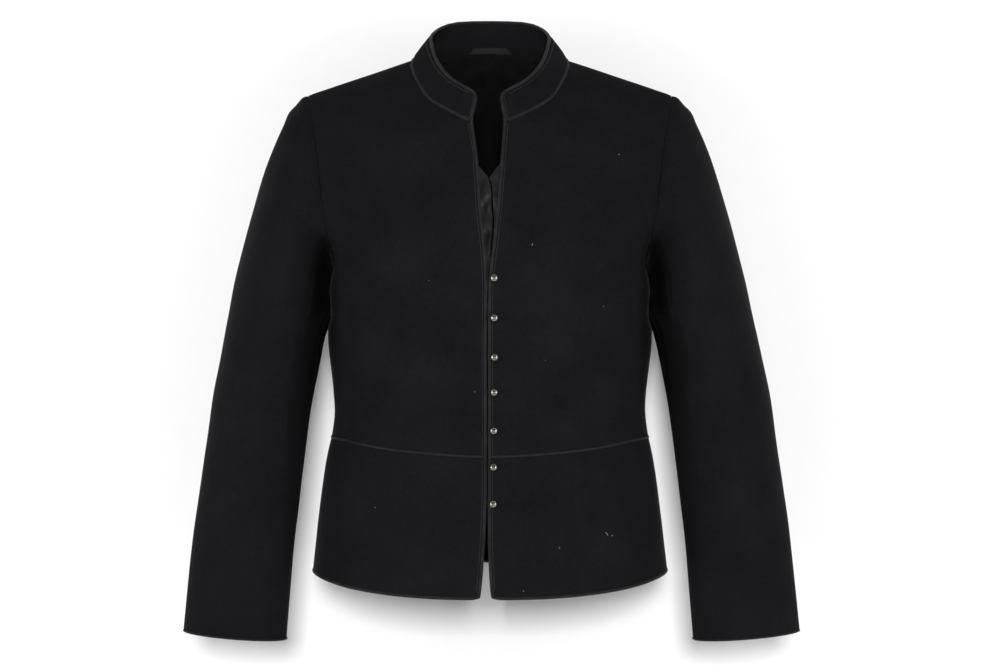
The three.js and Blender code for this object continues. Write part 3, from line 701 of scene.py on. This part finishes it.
def tuck_under_arm(piece):
    """Moves the sleeve's inner front in towards the body, and turns it back steeply there."""
    places = coordinates(piece.data)
    across, up = np.abs(places[:, 0]) / MM, places[:, 2] / MM
    from_edge = across - read_off(INNER_EDGE, up)
    near = np.clip(1 - from_edge / 34, 0, 1) * np.clip((0.026 - places[:, 1]) / 0.03, 0, 1)
    loose = np.clip(from_armhole(places) / CALM_AT_SEAM, 0, 1)
    places[:, 0] -= np.sign(places[:, 0]) * NARROWED_BY * near * read_off(NARROWED, up) * loose
    reach = np.clip(1 - from_edge / 27, 0, 1) ** 1.5
    front = np.clip(sleeve_front(places) / 0.03, 0, 1)
    loose = np.clip(from_armhole(places) / 0.008, 0, 1)
    places[:, 1] += TURNED_BACK_BY * reach * read_off(TURNED_BACK, up) * front * loose
    set_coordinates(piece.data, places)


# Painted shade for the hollow between arm and body, which hardly any light reaches, from bottom to top: z,
# its middle's x and its half width in millimetres, and how dark it is painted.
PAINTED_ARM_SHADE = [
    (-430, 189, 26, 0), (-380, 184, 28, 0.3), (-320, 178, 26, 0.7),
    (-292, 176, 22, 0.95), (-275, 175, 19, 1), (-228, 174, 18, 1),
    (-212, 173, 16, 0.85), (-196, 173, 11, 0.5), (-180, 172, 8, 0),
]


def paint_arm_shade(piece):
    """Writes the painted shade on each point of the cloth, by where it lies in the hollow between arm and
    body.
    """
    places = coordinates(piece.data)
    across, up = np.abs(places[:, 0]) / MM, places[:, 2] / MM
    middle, half_width, depth = (read_off(PAINTED_ARM_SHADE, up, column) for column in (1, 2, 3))
    inside = np.clip(1.6 * (1 - np.abs(across - middle) / half_width), 0, 1)
    in_front = np.clip(1 - places[:, 1] / 0.02, 0, 1)
    # The painted shade is kept as a point attribute, which darkens the wool's colour.
    layer = piece.data.attributes.new("painted_shade", "FLOAT", "POINT")
    layer.data.foreach_set("value", depth * inside * in_front)


WAIST_SEAM = -0.414
WAIST_RISE = [(15, 0), (30, 0.5), (60, 1.6), (90, 2.8), (115, 4.2), (135, 6.0), (155, 7.6)]


def lift_waist_seam(piece):
    """Slides the cloth near the waist seam up towards the sides, where the seam rises."""
    places = coordinates(piece.data)
    rise = read_off(WAIST_RISE, np.abs(places[:, 0]) / MM) * MM
    near = np.exp(-((places[:, 2] - WAIST_SEAM) / 0.045) ** 2)
    places[:, 2] += rise * near
    set_coordinates(piece.data, places)


def line_inside(piece, away, material):
    """Gives the faces on the inside of the wall the lining."""
    piece.data.materials.append(material)
    centres = np.array([polygon.center for polygon in piece.data.polygons])
    normals = np.array([polygon.normal for polygon in piece.data.polygons])
    inward = np.einsum("ij,ij->i", normals, away(centres)) < -0.35
    for polygon, turned in zip(piece.data.polygons, inward):
        polygon.material_index = int(turned)


# The node's name, its family, and its cut: width, length and flat area in metres.
CLOTH = [
    ("center_front_left", "torso", (0.135, 0.433), 0.0455),
    ("center_front_right", "torso", (0.133, 0.433), 0.0447),
    ("side_front_left", "torso", (0.148, 0.410), 0.0403),
    ("side_front_right", "torso", (0.148, 0.410), 0.0403),
    ("back_left", "torso", (0.223, 0.440), 0.0901),
    ("back_right", "torso", (0.223, 0.440), 0.0901),
    ("skirt_front_left", "torso", (0.091, 0.145), 0.0129),
    ("skirt_front_right", "torso", (0.086, 0.145), 0.0122),
    ("skirt_side_left", "torso", (0.170, 0.145), 0.0222),
    ("skirt_side_right", "torso", (0.170, 0.145), 0.0222),
    ("skirt_back", "torso", (0.504, 0.145), 0.0644),
    ("upper_sleeve_left", "sleeve", (0.232, 0.600), 0.1178),
    ("upper_sleeve_right", "sleeve", (0.230, 0.600), 0.1162),
    ("under_sleeve_left", "sleeve", (0.124, 0.470), 0.0454),
    ("under_sleeve_right", "sleeve", (0.124, 0.470), 0.0450),
]
FAMILIES = {
    "torso": (TORSO_FOLDS, away_from_torso, torso_front),
    "sleeve": (SLEEVE_FOLDS, away_from_arm, sleeve_front),
}


HALF_SEAM = 0.00016     # half the gap between solids at a seam
OVER_ARMHOLE = 0.0009   # how much further a sleeve reaches at the armhole


def make_panel(node, family):
    folds, away, towards_front = FAMILIES[family]
    piece = skin_of(node, f"wool_{node}")
    crease_rims(piece, wall=WALL)
    smoothed(piece, 2)
    close_seams(piece, HALF_SEAM, at_armhole=OVER_ARMHOLE if family == "sleeve" else 0.0)
    if family == "torso":
        lift_waist_seam(piece)
    shape_cloth(piece, folds, away, towards_front)
    if family == "sleeve":
        tuck_under_arm(piece)
    soften_rims(piece, 0.0006)
    paint_arm_shade(piece)
    piece.data.materials.append(wool)
    # The skirt's inside takes the much darker lining copy, as painted shade.
    line_inside(piece, away, skirt_lining if node.startswith("skirt") else lining)
    round_shading(piece)
    belongs(piece, "cloth", wool, node)
    return piece


panels = {node: make_panel(node, family) for node, family, flat, area in CLOTH}


def make_collar():
    piece = skin_of("collar", "wool_collar")
    crease_rims(piece)
    smoothed(piece, 3)
    places = coordinates(piece.data)
    heights = uneven(places, 0.03, 0.0004)
    set_coordinates(piece.data, places + away_from_neck(places) * heights[:, None])
    soften_rims(piece, 0.00022)
    round_shading(piece)
    belongs(piece, "cloth", wool, "collar")
    return piece


panels["collar"] = make_collar()


PIPING_SWELL = 0.00028  # so that the cord fills its seam's gap


def make_piping(node):
    piece = skin_of(node, f"cord_{node}")
    crease_rims(piece, 65)
    smoothed(piece, 1)
    swollen(piece, PIPING_SWELL)
    lift_waist_seam(piece)
    shape_cloth(piece, TORSO_FOLDS, away_from_torso, torso_front)
    round_shading(piece)
    belongs(piece, "piping", piping, node)


for node in ("edge_piping", "collar_seam_piping", "waist_piping"):
    make_piping(node)

LINING_NECK = 0.014     # height where the lining's own folds end


def make_back_lining():
    """The lining, with folds of its own, pushed in by the cloth's troughs."""
    piece = skin_of("back_lining", "lining_of_back")
    crease_rims(piece)
    smoothed(piece, 3)
    places = coordinates(piece.data)
    own = fold_heights(places, torso_front(places), LINING_FOLDS)
    own *= np.clip((LINING_NECK - places[:, 2]) / 0.008, 0, 1)
    troughs = np.minimum(fold_heights(places, torso_front(places), TORSO_FOLDS), 0)
    places = places + away_from_torso(places) * (troughs * 1.05 - own)[:, None]
    set_coordinates(piece.data, places)
    round_shading(piece)
    belongs(piece, "lining", lining, "back_lining")


make_back_lining()

# The turned neck edge in rows: height above the collar's foot and distance inside it, in millimetres.
NECK_EDGE = [(-7.0, 3.3), (-3.0, 3.1), (1.0, 3.0), (4.6, 3.0)]


def make_lining_neck():
    """The lining's turned neck edge, which covers the collar's seam on the inside."""
    mesh = bmesh.new()
    rows = []
    half = COLLAR_EDGES[5:]
    columns = [(*pair, 1) for pair in half] + [(*pair, -1) for pair in half[-2::-1]]
    for height, inset in NECK_EDGE:
        line = []
        for foot, top, sign in columns:
            foot, top = Vector(foot), Vector(top)
            place = foot + (top - foot).normalized() * height
            inward = Vector((-foot.x, -foot.y, 0)).normalized()
            place += inward * inset
            line.append(Vector((place.x * sign, place.y, place.z)) * MM)
        rows.append([mesh.verts.new(place) for place in spline(line, 4)])
    for low, high in zip(rows, rows[1:]):
        for a, b, c, d in zip(low, low[1:], high[1:], high):
            mesh.faces.new((a, b, c, d))
    piece = as_piece("lining_neck_edge", mesh)
    modifier = piece.modifiers.new("thickness", "SOLIDIFY")
    modifier.thickness = 0.0006
    modifier.offset = 0
    only(piece)
    bpy.ops.object.modifier_apply(modifier="thickness")
    edit(piece, lambda: bpy.ops.mesh.normals_make_consistent(inside=False))
    round_shading(piece)
    belongs(piece, "lining", lining)


make_lining_neck()


# Heights on the underlaps: lower end, start of the raised upper part and top of the part painted in shade.
UNDERLAP_FOOT, UNDERLAP_TOP, UNDERLAP_SHADE_TOP = -296, -205, -246


def make_underlap(side, turn):
    """A soft strip whose crumples run slantwise from the meeting line, with painted shade on its lower
    part.
    """
    piece = skin_of(f"underlap_{side}", f"satin_underlap_{side}")
    crease_rims(piece)
    smoothed(piece, 3)
    places = coordinates(piece.data)
    across, up = places[:, 0] * turn / MM, places[:, 2] / MM
    fade = np.clip((up - UNDERLAP_FOOT) / 60, 0, 1)
    waves = np.sin((up + 1.5 * across) / 4.4) + 0.7 * np.sin((up - 1.1 * across) / 2.9 + 1.7 * turn)
    puckers = uneven(places, 0.007, 1.6)
    places[:, 1] += np.clip(0.9 + 0.6 * waves + puckers, 0, 2.6) * fade * MM
    meeting = np.clip(1 - np.abs(across) / 9, 0, 1)
    places[:, 0] += turn * meeting * (0.25 + 0.5 * np.sin(up / 6.5 + turn) ** 2) * fade * MM
    places[:, 2] += 8.5 * np.clip((up - UNDERLAP_TOP) / 60, 0, 1) * MM
    set_coordinates(piece.data, places)
    round_shading(piece)
    belongs(piece, "satin", satin, f"underlap_{side}")
    # Below the given height the strip takes the much darker lining copy, as painted shade.
    piece.data.materials.append(skirt_lining)
    for polygon in piece.data.polygons:
        polygon.material_index = int(polygon.center.z < UNDERLAP_SHADE_TOP * MM)


for side, turn in SIDES.items():
    make_underlap(side, turn)


def make_hanger_loop():
    piece = skin_of("hanger_loop", "satin_hanger_loop")
    crease_rims(piece)
    smoothed(piece, 2)
    round_shading(piece)
    belongs(piece, "satin", satin, "hanger_loop")


make_hanger_loop()

# ---------- sewing lines


def surface_of(*names):
    """A search tree of the named panels' skins."""
    mesh = bmesh.new()
    for name in names:
        mesh.from_mesh(panels[name].data)
    tree = BVHTree.FromBMesh(mesh)
    mesh.free()
    return tree


def laid_on(line, tree, away, lift):
    """The line moved onto the cloth's outer face."""
    laid = []
    for place in line:
        out = Vector(away(np.array([place]))[0])
        spot, normal, _, _ = tree.find_nearest(place + out * 0.004)
        laid.append(spot + normal * lift)
    return laid


def stitch_shape():
    """One stitch: a short thread that dips into the cloth at both ends."""
    stitch = primitive(bpy.ops.mesh.primitive_uv_sphere_add, segments=6, ring_count=4, radius=1)
    shape = stitch.data.copy()
    bpy.data.objects.remove(stitch)
    return shape


STITCH = stitch_shape()


def stitch_row(name, line, tree, away, step=2.3, length=2.1, thick=0.5):
    """A row of stitches laid along a line on the cloth."""
    laid = laid_on(line, tree, away, 0.00005)
    mesh = bmesh.new()
    for place, run in evenly(laid, step * MM):
        _, normal, _, _ = tree.find_nearest(place)
        side = run.cross(normal).normalized()
        frame_of_stitch = Matrix((side, run, side.cross(run))).transposed().to_4x4()
        sizes = Matrix.Diagonal((thick / 2 * MM, length / 2 * MM, thick / 2 * MM, 1))
        start = len(mesh.verts)
        mesh.from_mesh(STITCH)
        mesh.verts.ensure_lookup_table()
        bmesh.ops.transform(
            mesh, matrix=Matrix.Translation(place) @ frame_of_stitch @ sizes, verts=mesh.verts[start:]
        )
    only(as_piece(name, mesh))
    bpy.ops.object.shade_smooth()
    belongs(bpy.context.object, "piping", thread)


# The front edges: z, the left edge's x, the right edge's x and their y, in millimetres.
FRONT_EDGE = [
    (-72, 18.0, 20.6, -84), (-110, 15.1, 15.2, -98), (-155, 11.7, 12.4, -112), (-200, 6.9, 7.5, -122),
    (-240, 2.6, 5.3, -124), (-290, 2.1, 6.0, -120), (-340, 2.1, 6.0, -115), (-383, 2.1, 6.0, -112),
    (-414, 2.1, 6.0, -113),
]
SKIRT_EDGE = [
    (-420, 2.1, 6.0, -114), (-455, 2.1, 6.0, -120), (-510, 2.3, 8.2, -129), (-553, 4.6, 11.6, -133),
]
EDGE_INSET = 1.1    # distance of the stitches from the edge


def edge_line(table, side):
    """The line inside a front edge, from top to bottom."""
    column = 1 if side == "left" else 2
    return spline([
        Vector((SIDES[side] * (row[column] + EDGE_INSET), row[3], row[0])) * MM for row in table
    ], 12)


for side in SIDES:
    for part, panel, table in (("front", "center_front", FRONT_EDGE), ("skirt", "skirt_front", SKIRT_EDGE)):
        cloth = surface_of(f"{panel}_{side}")
        stitch_row(f"stitches_{part}_{side}", edge_line(table, side), cloth, away_from_torso)


def collar_line(share, inset):
    """A line along the collar, at a share of its height and then an inset in millimetres down."""
    half = []
    for foot, top in COLLAR_EDGES:
        foot, top = Vector(foot), Vector(top)
        half.append((foot.lerp(top, share) + (foot - top).normalized() * inset) * MM)
    flipped = [Vector((-p.x, p.y, p.z)) for p in half[:-1]]
    return spline([*flipped, *reversed(half)], 8)


TOP_CORD = 3.3      # height of the cord along the collar's top
collar_tree = surface_of("collar")
stitch_row("stitches_collar_top", collar_line(1, TOP_CORD + 0.6)[3:-3], collar_tree, away_from_neck)
stitch_row("stitches_collar_seam", collar_line(0, -1.2), collar_tree, away_from_neck)


def collar_front(side):
    """The line inside the collar's front edge."""
    (foot, top), (next_foot, next_top) = COLLAR_EDGES[0], COLLAR_EDGES[1]
    line = []
    for share in (0.02, 0.35, 0.65, 0.86):
        edge = Vector(foot).lerp(Vector(top), share)
        inner = Vector(next_foot).lerp(Vector(next_top), share)
        place = edge + (inner - edge).normalized() * (EDGE_INSET + 0.3)
        line.append(Vector((place.x * SIDES[side], place.y, place.z)) * MM)
    return spline(line, 8)


for side in SIDES:
    stitch_row(f"stitches_collar_{side}", collar_front(side), collar_tree, away_from_neck)

# ---------- cuffs

# A cuff's edge, in millimetres: its middle, its two radii and how far it tilts.
CUFF_MIDDLE = (270.5, -38, -609.5)
CUFF_ACROSS, CUFF_DEEP = 54.7, 36.6
CUFF_TILT = math.radians(4.8)
CUFF_POINTS = 96


def make_cuff_edge(side, ease):
    """The turned edge of a cuff, a thin roll at the sleeve's end, wider by the ease."""
    across = Vector((math.cos(CUFF_TILT), 0, math.sin(CUFF_TILT))) * (CUFF_ACROSS + ease)
    middle = Vector(CUFF_MIDDLE) + Vector((ease, 0, 0))
    line = []
    for k in range(CUFF_POINTS):
        angle = 2 * math.pi * k / CUFF_POINTS
        place = middle - across * math.cos(angle) - Vector((0, CUFF_DEEP * math.sin(angle), 0))
        line.append(Vector((place.x * SIDES[side], place.y, place.z)) * MM)
    piece = tube(f"rolled_cuff_{side}", line, 0.0010, closed=True)
    round_shading(piece)
    # The roll takes the lighter cord material, as painted highlight along the cuff's turned edge.
    belongs(piece, "cloth", piping)


make_cuff_edge("left", 1.9)
make_cuff_edge("right", 0.0)

# ---------- buttons and their loops

BALL = 0.0045       # radius
BEADS = 10
BEAD = 0.00042      # radius
BEAD_RING = 0.72    # angle of the ring of beads from the ball's front, in radians
# Grooves, between two heights as shares of the radius, and how deep they are.
GROOVES = [(0.93, 0.96, 0.00020), (-0.05, 0.05, 0.00012)]


def by_height(low, high):
    """Selects the faces of the active mesh whose middles lie between two heights."""
    bpy.ops.object.mode_set(mode="OBJECT")
    for polygon in bpy.context.object.data.polygons:
        polygon.select = low < polygon.center.z < high
    bpy.ops.object.mode_set(mode="EDIT")


def make_ball_button():
    """A cast ball with a raised boss in a grooved ring, beads round it, a waist line and a shank."""
    ball = primitive(bpy.ops.mesh.primitive_uv_sphere_add, segments=32, ring_count=24, radius=BALL)
    ball.data.materials.append(silver)
    ball.data.materials.append(tarnish)
    bpy.ops.object.mode_set(mode="EDIT")
    bpy.ops.mesh.select_mode(type="FACE")
    for low, high, depth in GROOVES:
        bpy.ops.mesh.select_all(action="DESELECT")
        by_height(BALL * low, BALL * high)
        bpy.ops.mesh.inset(thickness=0.00008)
        bpy.ops.transform.shrink_fatten(value=-depth)
        bpy.context.object.active_material_index = 1
        bpy.ops.object.material_slot_assign()
    bpy.ops.object.mode_set(mode="OBJECT")
    beads = []
    wide, high = math.sin(BEAD_RING) * BALL, math.cos(BEAD_RING) * BALL
    for k in range(BEADS):
        angle = 2 * math.pi * k / BEADS
        place = (wide * math.cos(angle), wide * math.sin(angle), high)
        bead = primitive(
            bpy.ops.mesh.primitive_ico_sphere_add, subdivisions=2, radius=BEAD, location=place
        )
        bead.data.materials.append(silver)
        beads.append(bead)
    shank = primitive(
        bpy.ops.mesh.primitive_cylinder_add,
        vertices=16, radius=0.0011, depth=0.0016, location=(0, 0, -BALL - 0.0002),
    )
    shank.data.materials.append(tarnish)
    button = joined("ball_button", [ball, *beads, shank])
    only(button)
    bpy.ops.object.transform_apply(location=True, rotation=True, scale=True)
    round_shading(button, 40)
    return button


def front_slope(z):
    """How much the front edge moves back as it rises, at a height."""
    rows = (FRONT_EDGE + SKIRT_EDGE[1:])[::-1]
    below, above = read_off(rows, (z / MM - 10, z / MM + 10), column=3)
    return (above - below) / 20


def make_buttons():
    pattern = make_ball_button()
    spots = []
    for index in range(1, 8):
        low, high = (Vector(corner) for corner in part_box(f"button_{index}"))
        middle = (low + high) / 2
        front = Vector((middle.x, low.y + BALL, middle.z))
        outward = Vector((0, -1, front_slope(front.z))).normalized()
        button = in_scene(f"ball_button_{index}", pattern.data.copy())
        turn = Vector((0, 0, 1)).rotation_difference(outward).to_matrix().to_4x4()
        roll = Matrix.Rotation(0.7 * index, 4, "Z")
        button.data.transform(Matrix.Translation(front) @ turn @ roll)
        belongs(button, "button_metal", silver, f"button_{index}")
        spots.append((front, outward))
    bpy.data.objects.remove(pattern)
    return spots


button_spots = make_buttons()

LOOP_CORD = 0.0006          # radius
ROUND_SHANK = 0.0019        # how far a loop reaches past the shank's middle
LOOP_ENDS = -0.0042         # x of its ends, under the wearer's right edge
HALF_LOOP_HEIGHT = 0.0018
LOOP_STEPS = 9              # on each half


def make_button_loops():
    """Thin cord loops from the wearer's right front edge round each shank."""
    loops = []
    for index, (middle, outward) in enumerate(button_spots, 1):
        foot = middle - outward * (BALL - 0.0002)
        wobble = 0.0004 * math.sin(2.3 * index)
        line = []
        for k in range(-LOOP_STEPS, LOOP_STEPS + 1):
            angle = math.pi / 2 * k / LOOP_STEPS
            reach = math.cos(angle) ** 0.6
            x = (foot.x + ROUND_SHANK) * reach + LOOP_ENDS * (1 - reach)
            y = foot.y + 0.0022 * (1 - reach) + 0.0002
            z = foot.z + HALF_LOOP_HEIGHT * math.sin(angle) + wobble * (1 - reach)
            line.append(Vector((x, y, z)))
        loops.append(tube(f"loop_{index}", line, LOOP_CORD))
    piece = joined("cord_button_loops", loops)
    round_shading(piece, 60)
    belongs(piece, "piping", piping)


make_button_loops()

# ---------- lint

# Fibres and specks: panel, x, z and length in millimetres, and the angle they lie at in degrees.
LINT = [
    ("center_front_right", -15, -350, 1.3, 20),
    ("center_front_left", 44, -199, 2.2, 60), ("center_front_left", 136, -102, 1.4, 15),
    ("skirt_front_left", 72, -510, 1.6, 95), ("skirt_side_left", 121, -497, 4.0, 120),
    ("skirt_side_left", 127, -499, 1.4, 40), ("skirt_front_left", 35, -553, 1.3, 160),
    ("side_front_left", 118, -262, 0.5, 30), ("center_front_left", 58, -318, 0.5, 100),
    ("center_front_right", -62, -236, 0.5, 10), ("skirt_side_right", -118, -470, 0.6, 60),
]


FIBRE = 0.00016     # least radius, and height above the cloth
IN_FRONT = -250     # y in millimetres, from where each point is dropped onto the cloth


def make_lint():
    rng = random.Random(7)
    fibres = []
    for index, (name, x, z, length, angle) in enumerate(LINT):
        tree = surface_of(name)
        start = Vector((x, IN_FRONT, z)) * MM
        turn = math.radians(angle)
        line = []
        for k in range(-3, 4):
            bend = rng.uniform(-0.12, 0.12) * length
            step = Vector((math.cos(turn) * k / 6 * length - math.sin(turn) * bend, 0,
                           math.sin(turn) * k / 6 * length + math.cos(turn) * bend)) * MM
            spot, normal, _, _ = tree.ray_cast(start + step, Vector((0, 1, 0)))
            if spot is not None:
                line.append(spot + normal * FIBRE)
        if len(line) > 3:
            fibres.append(tube(f"fibre_{index}", line, FIBRE + 0.00008 * rng.random(), sides=4))
    belongs(joined("lint_fibres", fibres), "cloth", lint)


make_lint()

# ---------- studio


def plain_material(name, colour, see_through_behind=False):
    material = bpy.data.materials.new(name)
    material.use_nodes = True
    tree = material.node_tree
    shader = tree.nodes["Principled BSDF"]
    shader.inputs["Base Color"].default_value = (*colour, 1)
    shader.inputs["Roughness"].default_value = 0.9
    shader.inputs["Specular IOR Level"].default_value = 0.1
    if see_through_behind:
        clear = tree.nodes.new("ShaderNodeBsdfTransparent")
        mix = tree.nodes.new("ShaderNodeMixShader")
        side = tree.nodes.new("ShaderNodeNewGeometry")
        tree.links.new(side.outputs["Backfacing"], mix.inputs["Fac"])
        tree.links.new(shader.outputs["BSDF"], mix.inputs[1])
        tree.links.new(clear.outputs["BSDF"], mix.inputs[2])
        tree.links.new(mix.outputs["Shader"], tree.nodes["Material Output"].inputs["Surface"])
    return material


def make_stage():
    floor = primitive(bpy.ops.mesh.primitive_plane_add, size=9, location=(0, 0, -0.74))
    floor.name = "floor"
    floor.data.materials.append(plain_material("pale_floor", (0.82, 0.82, 0.82)))
    upright = (math.pi / 2, 0, 0)
    wall = primitive(
        bpy.ops.mesh.primitive_plane_add, size=1, location=(0, 0.15, -0.29), rotation=upright
    )
    wall.name = "wall"
    wall.scale = (1.9, 0.9, 1)
    wall.data.materials.append(plain_material("pale_wall", (0.9, 0.9, 0.9), True))


def softbox(name, place, target, size, power):
    light = bpy.data.lights.new(name, "AREA")
    light.shape = "RECTANGLE"
    light.size, light.size_y = size
    light.energy = power
    lamp = in_scene(name, light)
    lamp.location = place
    lamp.rotation_euler = (Vector(target) - Vector(place)).to_track_quat("-Z", "Y").to_euler()
    return lamp


def make_lights():
    world = bpy.data.worlds.new("studio")
    bpy.context.scene.world = world
    world.use_nodes = True
    shade = world.node_tree.nodes["Background"]
    shade.inputs["Color"].default_value = (1, 1, 1, 1)
    shade.inputs["Strength"].default_value = 0.15
    middle = (0, 0, -0.3)
    key = softbox("front_key", (0.015, -6.0, 0.62), (0.015, 0, -0.3), (0.85, 0.85), 272)
    key.visible_glossy = False
    softbox("front_softbox_left", (2.2, -1.67, -0.42), middle, (1.05, 1.05), 15)
    softbox("front_softbox_right", (-2.2, -1.67, -0.36), middle, (1.05, 1.05), 15)
    softbox("side_softbox_left", (1.6, -0.5, 0.0), middle, (0.3, 1.2), 2)
    softbox("side_softbox_right", (-1.6, -0.5, 0.0), middle, (0.3, 1.2), 2)
    bpy.context.scene.view_settings.view_transform = "Standard"


make_stage()
make_lights()
